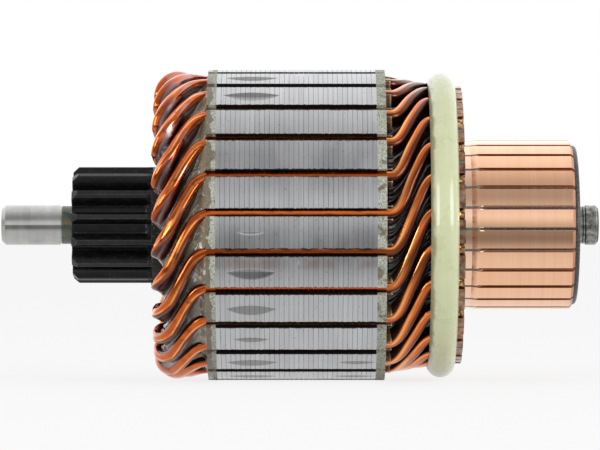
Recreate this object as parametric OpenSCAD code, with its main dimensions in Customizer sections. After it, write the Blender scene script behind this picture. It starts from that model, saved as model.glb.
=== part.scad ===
// Wound armature of a gear-reduction starter motor.
// The shaft lies along X, from the drive end to the commutator end, and +Z is up.
// The origin is on the shaft axis, in the middle of the drive-end journal.

/* [Shaft] */
// Diameter of the drive-end journal
journal_d = 8; // [6.5:0.1:9]
// Diameter of the commutator-end journal
end_journal_d = 7.9; // [6.5:0.1:9]
// Length of the drive-end journal
drive_journal_l = 10.9; // [6:0.1:20]
// Length of the commutator-end journal
end_journal_l = 1.95; // [1:0.05:10]
// Length of the chamfer on the drive end
drive_chamfer_l = 0.8; // [0.2:0.05:2]
// Depth of the chamfer on the drive end
drive_chamfer_h = 0.6; // [0.1:0.05:1.5]
// Chamfer on the commutator end
end_chamfer = 0.55; // [0.1:0.05:1.5]
// Width of the relief grooves beside the journals
groove_w = 0.25; // [0.1:0.05:0.4]
// Depth of the relief grooves beside the journals
groove_h = 0.25; // [0.05:0.05:0.3]
// Diameter of the neck between the journal and the gear
neck_d = 7.6; // [6:0.1:8.5]
// Length of the neck that shows before the gear
neck_l = 2.35; // [1:0.05:8]
// Diameter of the gear's seat
gear_seat_d = 9.4; // [9.2:0.1:12]
// Diameter of the core's seat
core_seat_d = 14; // [12.5:0.1:20]
// Diameter of the commutator's seat
commutator_seat_d = 11.2; // [10:0.1:14]
// Shaft between the moulding and the relief grooves
tail_l = 1.25; // [0.6:0.05:6]
// Diameter of the shaft between the moulding and the relief grooves
tail_d = 7.5; // [6.5:0.1:9]

/* [Sun gear] */
// Number of teeth
gear_teeth = 14; // [12:1:18]
// Module
gear_module = 1.45; // [1.3:0.01:1.5]
// Pressure angle
pressure_angle = 20; // [18:0.5:25]
// Height of a tooth above the pitch circle, in modules
addendum = 1; // [0.8:0.01:1.05]
// Depth of a tooth below the pitch circle, in modules
dedendum = 1.24; // [1.1:0.01:1.35]
// Backlash taken off each tooth at the pitch circle
gear_backlash = 0.06; // [0:0.01:0.15]
// Angle from the front to the centre of the nearest tooth
gear_phase = -8; // [-13:0.5:13]
// Length of the toothed part
gear_tooth_l = 14.9; // [8:0.1:25]
// Length of the plain collar behind the teeth
gear_collar_l = 4.5; // [2:0.1:8]
// Length over which the tooth spaces run out into the collar
gear_runout_l = 1.5; // [0.3:0.05:3]
// Part of the run-out that lies before the collar
gear_runout_in = 0.45; // [0.1:0.05:1]
// Length of the chamfer on the tooth tips
gear_chamfer_l = 1.1; // [0.3:0.05:3]
// Depth of the chamfer on the tooth tips
gear_chamfer_h = 1; // [0.3:0.05:2]

/* [Core] */
// Outside diameter of the core
core_d = 62; // [60:0.1:68]
// Number of laminations
lamination_n = 33; // [10:1:50]
// Thickness of one lamination
lamination_t = 0.9; // [0.5:0.01:1.2]
// Varnish coat between two laminations
coat_t = 0.05; // [0.02:0.01:0.1]
// Distance from the gear's collar to the drive-end insulator
collar_to_core = 7.6; // [5:0.05:15]
// Thickness of the end insulators
insulator_t = 1.85; // [0.8:0.05:3]

/* [Slots] */
// Number of slots, of hairpins and of commutator bars
slot_n = 25; // [21:2:25]
// Angle from the front down to the first slot
slot_phase = 9.9; // [0:0.1:14.4]
// Width of the slot openings
slot_opening = 1.5; // [0.8:0.05:2]
// Thickness of the tooth tips over a slot
slot_lip = 1; // [0.6:0.05:1.4]
// Height of the sloped shoulders under the tooth tips
slot_shoulder = 0.4; // [0.1:0.05:0.6]
// Space between the tooth tips and the upper conductor
wedge_gap = 0.25; // [0.15:0.05:0.6]
// Thickness of the slot liners
liner_t = 0.25; // [0.1:0.01:0.35]
// Clearance between slot, liner and conductor
liner_gap = 0.05; // [0.03:0.01:0.1]
// Liner standing out at the drive end
liner_out_drive = 0.3; // [0.2:0.05:1.2]
// Liner standing out at the commutator end
liner_out_end = 1.1; // [0.5:0.05:1.5]

/* [Winding] */
// Width of the conductor
conductor_w = 2.2; // [1.8:0.05:2.4]
// Height of the conductor
conductor_h = 3.6; // [3:0.05:3.8]
// Corner bevel of the conductor
conductor_bevel = 0.5; // [0.2:0.05:0.7]
// Space between the two layers of conductors
layer_gap = 0.4; // [0.3:0.05:0.6]
// Overhang of the hairpins beyond the drive-end insulator
nose_overhang = 10.7; // [10.5:0.05:14]
// Distance from the commutator-end insulator to the risers
riser_overhang = 12.2; // [11.5:0.05:16]
// Centre-line radius of the hairpin noses
nose_r = 2.5; // [2.4:0.05:2.8]
// Rise of the noses' middle above the middle of the two layers
nose_rise = 0.45; // [0.2:0.05:0.8]
// Angle of the nose beyond the middle between its two slots
nose_lead = 1.8; // [0:0.1:3]
// Slant at the top of the nose, as a share of the leg's slant
nose_slant = 0.5; // [0.3:0.05:1]
// Length of the bend where a leg leaves its slot
slot_bend = 2.6; // [1.5:0.1:3.5]
// Length of the bend before the riser
riser_bend = 2.4; // [1.5:0.1:3.5]

/* [Commutator] */
// Diameter of the brush track
track_d = 33.8; // [32:0.1:36]
// Length of the bars beyond the risers
bar_l = 22; // [18:0.1:30]
// Diameter over the risers
riser_d = 55.4; // [54.5:0.1:56.5]
// Thickness of the risers
riser_t = 3; // [2.5:0.05:4]
// Depth of the conductor below the top of the riser
riser_cover = 0.1; // [0.05:0.05:0.4]
// Clearance of the conductor in the riser's slot
riser_gap = 0.05; // [0.02:0.01:0.1]
// Conductor end set back from the riser's face
end_inset = 0.15; // [0.05:0.05:0.5]
// Length of the turned neck between riser and brush track
bar_neck_l = 1.75; // [1:0.05:3]
// Depth of the neck below the brush track
bar_neck_h = 0.15; // [0.1:0.05:0.6]
// Length of the slope from the neck up to the brush track
bar_neck_slope = 1; // [0.4:0.05:2]
// Chamfer at the free end of the brush track
track_chamfer = 0.5; // [0.2:0.05:1]
// Height of a bar from its foot to the brush track
bar_h = 5.3; // [4.5:0.05:6]
// Height of the dovetail foot
foot_h = 2; // [1.5:0.05:2.4]
// Depth of the dovetail grooves in the ends of a bar
foot_groove = 2.65; // [2:0.05:4]
// Overhang of the dovetail foot into its groove
foot_hook = 1.4; // [0.5:0.05:1.8]
// Thickness of the mica between two bars
mica_t = 0.5; // [0.3:0.05:0.7]
// Mica left below the copper where it isn't undercut
mica_recess = 0.06; // [0.02:0.01:0.2]
// Width of the undercut over the mica
undercut_w = 0.8; // [0.75:0.05:1]
// Depth of the undercut over the mica
undercut_h = 0.8; // [0.4:0.05:1]
// Radius of the saw that makes the undercut
saw_r = 3; // [2:0.1:6]

/* [Moulding and band] */
// Thickness of the moulding's end ring
end_ring_t = 1; // [0.6:0.05:2]
// Diameter of the moulding's end ring
end_ring_d = 31.8; // [31:0.1:32]
// Rounding of the end ring's edge
end_ring_round = 0.7; // [0.3:0.05:0.8]
// Moulding beyond the bars on the winding side
hub_back_t = 1; // [0.5:0.05:2]
// Radius of the binding band's section
band_r = 2.8; // [2.2:0.05:3]
// Height of the band's crest above the risers
band_h = 2.75; // [2:0.05:3]
// Part of the band that laps over the risers
band_lap = 1.8; // [1:0.05:2.2]
// Space between the band and what it binds
band_gap = 0.12; // [0.1:0.01:0.25]
// Thickness of the sheet between the layers
sheet_t = 0.14; // [0.1:0.01:0.14]
// Space between the sheet and the inner layer
sheet_gap = 0.05; // [0.03:0.01:0.06]

/* [Balancing] */
// Radius of the balancing cutter
cutter_r = 38; // [30:1:50]
// Half of the included angle of the cutter's rim
cutter_half_angle = 74; // [65:1:80]
// Tilt of the cutter from the tooth's centre plane
cutter_tilt = 6; // [0:1:10]

/* [Hidden] */
$fn = 96;

// radii
journal_r = journal_d / 2;
end_journal_r = end_journal_d / 2;
core_r = core_d / 2;
track_r = track_d / 2;
riser_r = riser_d / 2;
neck_r = track_r - bar_neck_h;
foot_r = track_r - bar_h;
outer_r = core_r - slot_lip - wedge_gap - conductor_h / 2;
layer_pitch = conductor_h + layer_gap;
inner_r = outer_r - layer_pitch;
slot_bottom_r = inner_r - conductor_h / 2 - 2 * liner_gap - liner_t;
slot_w = conductor_w + 2 * liner_t + 4 * liner_gap;
riser_outer_r = riser_r - riser_cover - conductor_h / 2;
nose_mid_r = (outer_r + inner_r) / 2 + nose_rise;
tip_r = gear_module * (gear_teeth / 2 + addendum);

// stations along the shaft
journal_x = drive_journal_l / 2;
shaft_x0 = -journal_x - drive_chamfer_l;
gear_x0 = journal_x + groove_w + neck_l;
collar_x0 = gear_x0 + gear_tooth_l;
collar_x1 = collar_x0 + gear_collar_l;
insulator_x0 = collar_x1 + collar_to_core;
core_x0 = insulator_x0 + insulator_t;
lamination_pitch = lamination_t + coat_t;
core_x1 = core_x0 + lamination_n * lamination_pitch - coat_t;
insulator_x1 = core_x1 + insulator_t;
liner_x0 = insulator_x0 - liner_out_drive;
liner_x1 = insulator_x1 + liner_out_end;
riser_x0 = insulator_x1 + riser_overhang;
riser_x1 = riser_x0 + riser_t;
bar_x1 = riser_x1 + bar_l;
ring_x1 = bar_x1 + end_ring_t;
hub_x0 = riser_x0 - hub_back_t;
tail_x = ring_x1 + tail_l;
end_journal_x0 = tail_x + 3 * groove_w;
end_journal_x1 = end_journal_x0 + end_journal_l;
shaft_x1 = end_journal_x1 + end_chamfer;
nose_x = insulator_x0 - nose_overhang + conductor_h / 2 + nose_r;

// angles
pitch_a = 360 / slot_n;
// each leg crosses two slots on its way to the nose, and two on its way to its bar
leg_a = 2 * pitch_a;

// The balancing cuts: number of the tooth, distance from the core's drive end, and depth.
// Tooth 0 is the first one below the front slot, and they count downwards.
cuts = [
    [-6, 6.9, 0.38], [-5, 6.9, 0.43], [-1, 6.9, 0.1], [0, 6.9, 0.31], [1, 6.9, 0.34],
    [2, 6.9, 0.2], [3, 6.9, 0.37], [4, 6.9, 0.35], [3, 27.6, 0.21], [4, 27, 0.27]
];

function two_digits(n) = str(n < 10 ? "0" : "", n);
function hairpin_name(k) = str("hairpin_", two_digits(k));
function bar_name(k) = str("commutator_bar_", two_digits(k));

// Turns shapes made around Z so that Z becomes the shaft axis.
// Angles then count from the front, -Y, downwards.
module on_shaft() {
    rotate([0, 90, 0]) rotate([0, 0, -90]) children();
}

// Revolves a profile that is drawn with X along the shaft and Y as the radius.
module revolve() {
    on_shaft() rotate_extrude() rotate([0, 0, 90]) mirror([0, 1]) children();
}

// Puts a plate, drawn in the plane of shaft axis and radius, at an angle.
module radial_plate(angle, thickness) {
    on_shaft() rotate([0, 0, angle]) translate([0, thickness / 2, 0])
        rotate([90, 0, 0]) linear_extrude(thickness) rotate([0, 0, 90]) mirror([0, 1]) children();
}

function slot_angle(k) = slot_phase + k * pitch_a;

// ---- shaft ----

module shaft() {
    color("#b9b9b5") revolve() polygon([
        [shaft_x0, 0],
        [shaft_x0, journal_r - drive_chamfer_h],
        [-journal_x, journal_r],
        [journal_x, journal_r],
        [journal_x, journal_r - groove_h],
        [journal_x + groove_w, journal_r - groove_h],
        [journal_x + groove_w, neck_d / 2],
        [gear_x0, neck_d / 2],
        [gear_x0, gear_seat_d / 2],
        [collar_x1, gear_seat_d / 2],
        [collar_x1, core_seat_d / 2],
        [insulator_x1, core_seat_d / 2],
        [insulator_x1, commutator_seat_d / 2],
        [ring_x1, commutator_seat_d / 2],
        [ring_x1, tail_d / 2],
        [tail_x, tail_d / 2],
        [tail_x, tail_d / 2 - groove_h],
        [tail_x + groove_w, tail_d / 2 - groove_h],
        [tail_x + groove_w, tail_d / 2],
        [tail_x + 2 * groove_w, tail_d / 2],
        [tail_x + 2 * groove_w, tail_d / 2 - groove_h],
        [end_journal_x0, tail_d / 2 - groove_h],
        [end_journal_x0, end_journal_r],
        [end_journal_x1, end_journal_r],
        [shaft_x1, end_journal_r - end_chamfer],
        [shaft_x1, 0]
    ]);
}

// ---- sun gear ----

pitch_r = gear_module * gear_teeth / 2;
base_r = pitch_r * cos(pressure_angle);
root_r = pitch_r - gear_module * dedendum;
flank_steps = 5;

function involute(a) = (tan(a) - a * PI / 180) * 180 / PI;

// Half of a tooth's angle at radius r.
function half_tooth(r) =
    90 / gear_teeth - gear_backlash / (2 * pitch_r) * 180 / PI
    + involute(pressure_angle) - involute(acos(min(1, base_r / r)));

function flank_r(i) = max(root_r, base_r) + (tip_r + 0.2 - max(root_r, base_r)) * i / flank_steps;

function tooth_points() = concat(
    [[root_r - 0.3, half_tooth(base_r)]],
    [for (i = [0:flank_steps]) [flank_r(i), half_tooth(flank_r(i))]],
    [for (i = [flank_steps:-1:0]) [flank_r(i), -half_tooth(flank_r(i))]],
    [[root_r - 0.3, -half_tooth(base_r)]]
);

module gear_teeth_2d() {
    for (i = [0:gear_teeth - 1])
        rotate(gear_phase + i * 360 / gear_teeth)
            polygon([for (p = tooth_points()) [p[0] * cos(p[1]), p[0] * sin(p[1])]]);
    circle(root_r);
}

// The collar's front curves up from the floors of the tooth spaces, as the cutter left it.
module gear_collar() {
    x0 = collar_x0 - gear_runout_in;
    revolve() polygon(concat(
        [[x0 - 0.2, 0], [x0 - 0.2, root_r - 0.2]],
        [for (a = [15:15:90]) [x0 + gear_runout_l * sin(a), root_r + (tip_r - root_r) * (1 - cos(a))]],
        [[collar_x1, tip_r], [collar_x1, 0]]
    ));
}

module sun_gear() {
    color("#1c1c1e") difference() {
        union() {
            intersection() {
                on_shaft() translate([0, 0, gear_x0]) linear_extrude(gear_tooth_l + gear_collar_l / 2)
                    gear_teeth_2d();
                revolve() polygon([
                    [gear_x0, 0],
                    [gear_x0, tip_r - gear_chamfer_h],
                    [gear_x0 + gear_chamfer_l, tip_r],
                    [collar_x1, tip_r],
                    [collar_x1, 0]
                ]);
            }
            gear_collar();
        }
        on_shaft() translate([0, 0, gear_x0 - 1])
            cylinder(d = gear_seat_d, h = gear_tooth_l + gear_collar_l + 2);
    }
}

// ---- core ----

// A slot's outline, with X as the radius.
module slot_2d() {
    polygon([
        [slot_bottom_r, -slot_w / 2],
        [core_r - slot_lip - slot_shoulder, -slot_w / 2],
        [core_r - slot_lip, -slot_opening / 2],
        [core_r + 1, -slot_opening / 2],
        [core_r + 1, slot_opening / 2],
        [core_r - slot_lip, slot_opening / 2],
        [core_r - slot_lip - slot_shoulder, slot_w / 2],
        [slot_bottom_r, slot_w / 2]
    ]);
}

module slotted_disc(x, thickness) {
    on_shaft() translate([0, 0, x]) linear_extrude(thickness) difference() {
        circle(core_r);
        circle(d = core_seat_d);
        for (k = [0:slot_n - 1]) rotate(slot_angle(k)) slot_2d();
    }
}

function cut_x(cut) = core_x0 + cut[1];
function cut_reach(cut) = sqrt(2 * cutter_r * cut[2]);

// The rim of the balancing cutter, set into one tooth.
module balance_cut(cut) {
    on_shaft() rotate([0, 0, slot_angle(cut[0]) + pitch_a / 2])
        translate([core_r - cut[2], 0, cut_x(cut)]) rotate([0, 0, cutter_tilt])
            translate([cutter_r, 0, 0]) rotate([90, 0, 0]) rotate_extrude()
                polygon([
                    [cutter_r - 3, 3 * tan(cutter_half_angle)],
                    [cutter_r, 0],
                    [cutter_r - 3, -3 * tan(cutter_half_angle)]
                ]);
}

module core_laminations() {
    color("#a9abae") for (i = [0:lamination_n - 1]) {
        x = core_x0 + i * lamination_pitch;
        near = [for (cut = cuts) if (abs(x + lamination_t / 2 - cut_x(cut)) < cut_reach(cut)) cut];
        difference() {
            slotted_disc(x, lamination_t);
            for (cut = near) balance_cut(cut);
        }
    }
}

module end_insulator_drive() {
    color("#a8ad9a") slotted_disc(insulator_x0, insulator_t);
}

module end_insulator_commutator() {
    color("#a8ad9a") slotted_disc(core_x1, insulator_t);
}

// ---- slot liners ----

liner_outer = slot_w / 2 - liner_gap;
liner_floor = slot_bottom_r + liner_gap;
liner_top = core_r - slot_lip - slot_shoulder;

module slot_liners() {
    color("#8a6a3c") for (k = [0:slot_n - 1])
        on_shaft() rotate([0, 0, slot_angle(k)]) translate([0, 0, liner_x0])
            linear_extrude(liner_x1 - liner_x0) polygon([
                [liner_floor, -liner_outer],
                [liner_top, -liner_outer],
                [liner_top, -liner_outer + liner_t],
                [liner_floor + liner_t, -liner_outer + liner_t],
                [liner_floor + liner_t, liner_outer - liner_t],
                [liner_top, liner_outer - liner_t],
                [liner_top, liner_outer],
                [liner_floor, liner_outer]
            ]);
}

// ---- hairpins ----

// A hairpin runs from its bar, through the outer layer of its slot, round the nose and back through
// the inner layer. Its angle grows all the way. Each ring of its sweep is
// [x, radius, angle, tilt of the path in the plane of axis and radius, slant around the shaft].

function smooth(t) = (1 - cos(180 * t)) / 2;

// A leg's angle: slow over the bends b0 and b1 at its ends, and even between them.
function ramp(s, l, b0, b1) =
    (s < b0 ? s * s / (2 * b0) : s > l - b1 ? l - b0 / 2 - b1 / 2 - (l - s) * (l - s) / (2 * b1) : s - b0 / 2)
    / (l - b0 / 2 - b1 / 2);
function ramp_rate(s, l, b0, b1) =
    min(1, b0 > 0 ? s / b0 : 1, b1 > 0 ? (l - s) / b1 : 1) / (l - b0 / 2 - b1 / 2);

// Between riser and slot.
riser_bend_x = riser_x0 - 0.3;
end_run = riser_bend_x - liner_x1;
end_slope = atan((outer_r - riser_outer_r) / end_run);
end_steps = [0, riser_bend, (end_run + riser_bend - slot_bend) / 2,
             end_run - slot_bend, end_run - 0.5 * slot_bend, end_run];

function end_ring(s, drop) = let (
    r = riser_outer_r - drop + (outer_r - riser_outer_r) * s / end_run,
    a = leg_a * ramp(s, end_run, riser_bend, slot_bend),
    rate = leg_a * ramp_rate(s, end_run, riser_bend, slot_bend) * PI / 180
) [riser_bend_x - s, r, a - leg_a, s > 0 && s < end_run ? -end_slope : 0, atan(r * rate * cos(end_slope))];

// Between slot and nose. The slant eases off over the quarter turn up to the tip.
drive_run = liner_x0 - nose_x;
quarter = nose_r * PI / 2;
even_run = drive_run - slot_bend / 2 + quarter * (1 + nose_slant) / 2;

// side is 1 on the outer leg and -1 on the inner leg.
function drive_angle(s, side) = (leg_a + side * nose_lead) / even_run * (
    s < slot_bend ? s * s / (2 * slot_bend)
    : s < drive_run ? s - slot_bend / 2
    : let (q = s - drive_run) drive_run - slot_bend / 2 + q - (1 - nose_slant) * q * q / (2 * quarter)
);
function drive_rate(s, side) = (leg_a + side * nose_lead) / even_run * PI / 180 * (
    s < slot_bend ? s / slot_bend : s < drive_run ? 1 : 1 - (1 - nose_slant) * (s - drive_run) / quarter
);
drive_steps = [0, 0.5 * slot_bend, slot_bend, drive_run];

function drive_ring(s, side) = let (
    slot_r = side > 0 ? outer_r : inner_r,
    r = slot_r + (nose_mid_r + side * nose_r - slot_r) * smooth(s / drive_run)
) [liner_x0 - s, r, drive_angle(s, side), 0, atan(r * drive_rate(s, side))];

function nose_ring(turn) = let (
    side = turn <= 90 ? 1 : -1,
    s = drive_run + nose_r * min(turn, 180 - turn) * PI / 180,
    r = nose_mid_r + nose_r * cos(turn),
    a = leg_a * (1 - side) + side * drive_angle(s, side)
) [nose_x - nose_r * sin(turn), r, a, turn, atan(r * drive_rate(s, side))];

// The inner leg mirrors the outer one.
function mirrored(ring) = [ring[0], ring[1], 2 * leg_a - ring[2], 180 - ring[3], ring[4]];

function riser_end(drop) = [riser_x1 - end_inset, riser_outer_r - drop, -leg_a, 0, 0];

nose_turns = [30:30:150];

function hairpin_rings() = concat(
    [riser_end(0)],
    [for (s = end_steps) end_ring(s, 0)],
    [for (s = drive_steps) drive_ring(s, 1)],
    [for (turn = nose_turns) nose_ring(turn)],
    [for (i = [len(drive_steps) - 1:-1:0]) mirrored(drive_ring(drive_steps[i], -1))],
    [for (i = [len(end_steps) - 1:-1:0]) mirrored(end_ring(end_steps[i], layer_pitch))],
    [mirrored(riser_end(layer_pitch))]
);

half_w = conductor_w / 2;
half_h = conductor_h / 2;
section = [
    [half_w, half_h - conductor_bevel], [half_w - conductor_bevel, half_h],
    [conductor_bevel - half_w, half_h], [-half_w, half_h - conductor_bevel],
    [-half_w, conductor_bevel - half_h], [conductor_bevel - half_w, -half_h],
    [half_w - conductor_bevel, -half_h], [half_w, conductor_bevel - half_h]
];

// A point of the section: w across the conductor, h out of the bend.
function ring_point(ring, w, h) = let (
    along = -w * sin(ring[4]),
    around = w * cos(ring[4]),
    x = ring[0] - along * cos(ring[3]) - h * sin(ring[3]),
    r = ring[1] - along * sin(ring[3]) + h * cos(ring[3])
) [r * cos(ring[2]) - around * sin(ring[2]), r * sin(ring[2]) + around * cos(ring[2]), x];

module hairpin(k) {
    rings = hairpin_rings();
    m = len(section);
    points = [for (ring = rings) for (p = section) ring_point(ring, p[0], p[1])];
    near = [for (i = [0:len(rings) - 2]) for (j = [0:m - 1])
        [i * m + j, i * m + (j + 1) % m, (i + 1) * m + j]];
    far = [for (i = [0:len(rings) - 2]) for (j = [0:m - 1])
        [i * m + (j + 1) % m, (i + 1) * m + (j + 1) % m, (i + 1) * m + j]];
    first = [for (j = [m - 1:-1:0]) j];
    last = [for (j = [0:m - 1]) (len(rings) - 1) * m + j];
    color("#b9541e") on_shaft() rotate([0, 0, slot_angle(k - 1)])
        polyhedron(points, concat([first], near, far, [last]));
}

// ---- interlayer insulation ----

// The sheet lies just above the inner layer.
sheet_x0 = nose_x + 1;
slot_sheet_r = inner_r + conductor_h / 2 + sheet_gap;
riser_sheet_r = riser_outer_r - layer_pitch + conductor_h / 2 + sheet_gap;

module interlayer_insulation() {
    color("#2a2320") {
        revolve() polygon([
            [sheet_x0, slot_sheet_r], [sheet_x0, slot_sheet_r + sheet_t],
            [liner_x0, slot_sheet_r + sheet_t], [liner_x0, slot_sheet_r]
        ]);
        revolve() polygon([
            [liner_x1, slot_sheet_r], [liner_x1, slot_sheet_r + sheet_t],
            [riser_bend_x, riser_sheet_r + sheet_t], [riser_x0, riser_sheet_r + sheet_t],
            [riser_x0, riser_sheet_r], [riser_bend_x, riser_sheet_r]
        ]);
    }
}

// ---- commutator ----

function bar_angle(k) = slot_angle(k) - leg_a;

// The dovetail foot, from the winding side to the free end.
foot_points = [
    [riser_x0, foot_r + foot_h + foot_groove / 3],
    [riser_x0 + foot_groove, foot_r + foot_h],
    [riser_x0 + foot_groove - foot_hook, foot_r],
    [bar_x1 - foot_groove + foot_hook, foot_r],
    [bar_x1 - foot_groove, foot_r + foot_h],
    [bar_x1, foot_r + foot_h + foot_groove / 3]
];

// A bar's outline, with its outside lowered by the given amount.
module bar_2d(lowered) {
    polygon(concat(foot_points, [
        [bar_x1, track_r - track_chamfer - lowered],
        [bar_x1 - track_chamfer, track_r - lowered],
        [riser_x1 + bar_neck_l + bar_neck_slope, track_r - lowered],
        [riser_x1 + bar_neck_l, neck_r - lowered],
        [riser_x1, neck_r - lowered],
        [riser_x1, riser_r - lowered],
        [riser_x0, riser_r - lowered]
    ]));
}

// What the saw takes out over the mica.
module undercut_2d() {
    x = riser_x1 + bar_neck_l + bar_neck_slope + sqrt(2 * saw_r * undercut_h);
    translate([x, track_r - undercut_h + saw_r]) circle(saw_r);
    translate([x, track_r - undercut_h]) square([bar_x1 - x + 1, undercut_h + 1]);
}

module commutator_bar(k) {
    a = bar_angle(k - 1);
    color("#c98a5e") difference() {
        on_shaft() rotate([0, 0, a - pitch_a / 2]) rotate_extrude(angle = pitch_a)
            rotate([0, 0, 90]) mirror([0, 1]) bar_2d(0);
        for (side = [-1, 1]) {
            radial_plate(a + side * pitch_a / 2, mica_t)
                translate([riser_x0 - 1, foot_r - 1]) square([bar_x1 - riser_x0 + 2, riser_r - foot_r + 2]);
            radial_plate(a + side * pitch_a / 2, undercut_w) undercut_2d();
        }
        radial_plate(a, conductor_w + 2 * riser_gap)
            translate([riser_x0 - 1, riser_outer_r - layer_pitch - half_h - riser_gap])
                square([riser_t + 2, riser_r]);
    }
}

module mica_segments() {
    color("#4a4340") for (k = [0:slot_n - 1])
        radial_plate(bar_angle(k) + pitch_a / 2, mica_t) difference() {
            bar_2d(mica_recess);
            undercut_2d();
        }
}

module commutator_moulding() {
    bore_r = commutator_seat_d / 2;
    ring_r = end_ring_d / 2;
    round_x = ring_x1 - end_ring_round;
    round_r = ring_r - end_ring_round;
    color("#2b2c30") revolve() polygon(concat(
        [[hub_x0, bore_r], [hub_x0, foot_points[0][1]]],
        foot_points,
        [[bar_x1, ring_r]],
        [for (a = [0:15:90]) [round_x + end_ring_round * sin(a), round_r + end_ring_round * cos(a)]],
        [[ring_x1, bore_r]]
    ));
}

// ---- binding band ----

module glass_band() {
    crest_r = riser_r + band_h;
    band_x = riser_x0 + band_lap - band_r;
    wire_slope = tan(end_slope);
    lap_r = riser_r + band_gap;
    wire_top = riser_outer_r + half_h / cos(end_slope) + band_gap;
    meet_x = riser_bend_x - max(0, lap_r - wire_top) / wire_slope;
    color("#c3cda4") revolve() difference() {
        translate([band_x, crest_r - band_r]) circle(band_r);
        polygon([
            [band_x - 2 * band_r, lap_r + (meet_x - band_x + 2 * band_r) * wire_slope],
            [meet_x, lap_r],
            [band_x + 2 * band_r, lap_r],
            [band_x + 2 * band_r, lap_r - 2 * band_r],
            [band_x - 2 * band_r, lap_r - 2 * band_r]
        ]);
    }
}

shaft();
sun_gear();
core_laminations();
end_insulator_drive();
end_insulator_commutator();
slot_liners();
interlayer_insulation();
mica_segments();
commutator_moulding();
glass_band();
for (k = [1:slot_n]) {
    hairpin(k);
    commutator_bar(k);
}
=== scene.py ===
"""Looks of the wound armature of a gear-reduction starter motor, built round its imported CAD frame."""

import math

import bpy
import numpy as np
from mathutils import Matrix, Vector


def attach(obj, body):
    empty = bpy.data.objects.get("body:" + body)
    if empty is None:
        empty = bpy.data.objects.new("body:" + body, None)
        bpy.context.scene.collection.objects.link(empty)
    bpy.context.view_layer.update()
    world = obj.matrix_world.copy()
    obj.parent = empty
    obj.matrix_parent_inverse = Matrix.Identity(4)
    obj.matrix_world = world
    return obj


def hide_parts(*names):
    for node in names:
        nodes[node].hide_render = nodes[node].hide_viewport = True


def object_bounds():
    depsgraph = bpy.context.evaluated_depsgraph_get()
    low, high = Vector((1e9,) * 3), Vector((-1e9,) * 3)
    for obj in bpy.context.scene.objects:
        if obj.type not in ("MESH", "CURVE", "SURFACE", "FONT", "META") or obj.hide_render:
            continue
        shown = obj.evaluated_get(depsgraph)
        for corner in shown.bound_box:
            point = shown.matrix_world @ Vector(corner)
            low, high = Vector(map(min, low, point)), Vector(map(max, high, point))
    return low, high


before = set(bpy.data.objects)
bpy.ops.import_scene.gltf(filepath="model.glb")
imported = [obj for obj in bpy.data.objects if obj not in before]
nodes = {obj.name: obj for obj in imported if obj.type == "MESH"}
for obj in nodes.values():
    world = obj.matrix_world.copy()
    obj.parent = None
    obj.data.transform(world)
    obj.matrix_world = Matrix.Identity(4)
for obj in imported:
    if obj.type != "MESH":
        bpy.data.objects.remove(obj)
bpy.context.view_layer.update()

MM = 0.001

# ---- measures of the CAD part, in millimetres ----

SLOTS = 25
PITCH = 360 / SLOTS
SLOT_PHASE = 9.9
LEG = 2 * PITCH

WITNESS_X = -0.7
JOURNAL_X = 5.45
GEAR_X0 = 8.05
COLLAR_X0 = 22.95
INSULATOR_X0 = 35.05
CORE_X0 = 36.9
CORE_X1 = 68.2
CORE_R = 31.0
LAMINATION_PITCH = 0.95
STREAK_ANGLE = 14.2
LINER_X0 = 34.75
LINER_X1 = 71.15
RISER_X0 = 82.25
RISER_X1 = 85.25
NECK_X1 = 87.0
TAIL_X = 107.9
TAIL_GROOVE_R = 3.6
TRACK_R = 16.9
BAND_X = 81.25

CONDUCTOR_W = 2.2
CONDUCTOR_H = 3.6
CONDUCTOR_ROUND = 0.8
OUTER_R = 27.95
INNER_R = 23.95
LAYER_PITCH = 4.0
RISER_OUTER_R = 25.8
NOSE_X = 28.65
NOSE_R = 2.5
NOSE_MID_R = 26.4
NOSE_SLANT = 0.5
NOSE_LEAD = 1.8
EARLY_BEND = 1.1
EARLY_START = 1.4
SLOT_BEND = 2.6
LEG_X0 = 70.4
LEG_X1 = 79.3
END_BEND = 3.4
RISER_BEND = 2.4
END_INSET = 0.15
DRIVE_ROLL = 23.0
END_ROLL = 16.0

# ---- small helpers ----


def around(x, r, degrees):
    """A point in metres from its station, radius and angle. The angle counts from the front downwards."""
    a = math.radians(degrees)
    return (x * MM, -r * math.cos(a) * MM, -r * math.sin(a) * MM)


def slot_angle(k):
    return SLOT_PHASE + k * PITCH


def smooth(t):
    t = min(1.0, max(0.0, t))
    return (1 - math.cos(math.pi * t)) / 2


def ripple(seed, *at):
    """A smooth value in -1..1 that wanders with the given coordinates."""
    total = 0.0
    for i in range(4):
        phase = 2.4 * seed + 1.7 * i
        turn = sum(c * math.cos(1.3 * i + 0.9 * j + seed) for j, c in enumerate(at))
        total += math.sin(turn * (1 + 0.61 * i) + phase) / (1 + 0.6 * i)
    return total / 2.2


def grid_faces(rows, columns, closed=False):
    """Quads between neighbouring rows of points."""
    faces = []
    for i in range(rows - 1):
        for j in range(columns if closed else columns - 1):
            k = (j + 1) % columns
            faces.append((i * columns + j, i * columns + k, (i + 1) * columns + k, (i + 1) * columns + j))
    return faces


def make_piece(name, points, faces, material, uvs=None):
    """A smooth-shaded mesh that rides with the armature."""
    mesh = bpy.data.meshes.new(name)
    mesh.from_pydata(points, [], faces)
    mesh.validate()
    mesh.polygons.foreach_set("use_smooth", [True] * len(mesh.polygons))
    if uvs is not None:
        layer = mesh.uv_layers.new(name="UVMap")
        picked = np.array(uvs, np.float32)[[loop.vertex_index for loop in mesh.loops]]
        layer.data.foreach_set("uv", picked.ravel())
    mesh.update()
    piece = bpy.data.objects.new(name, mesh)
    bpy.context.scene.collection.objects.link(piece)
    piece.data.materials.append(material)
    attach(piece, "root")
    return piece


def rgb(r, g, b):
    return (r, g, b, 1.0)


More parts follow.
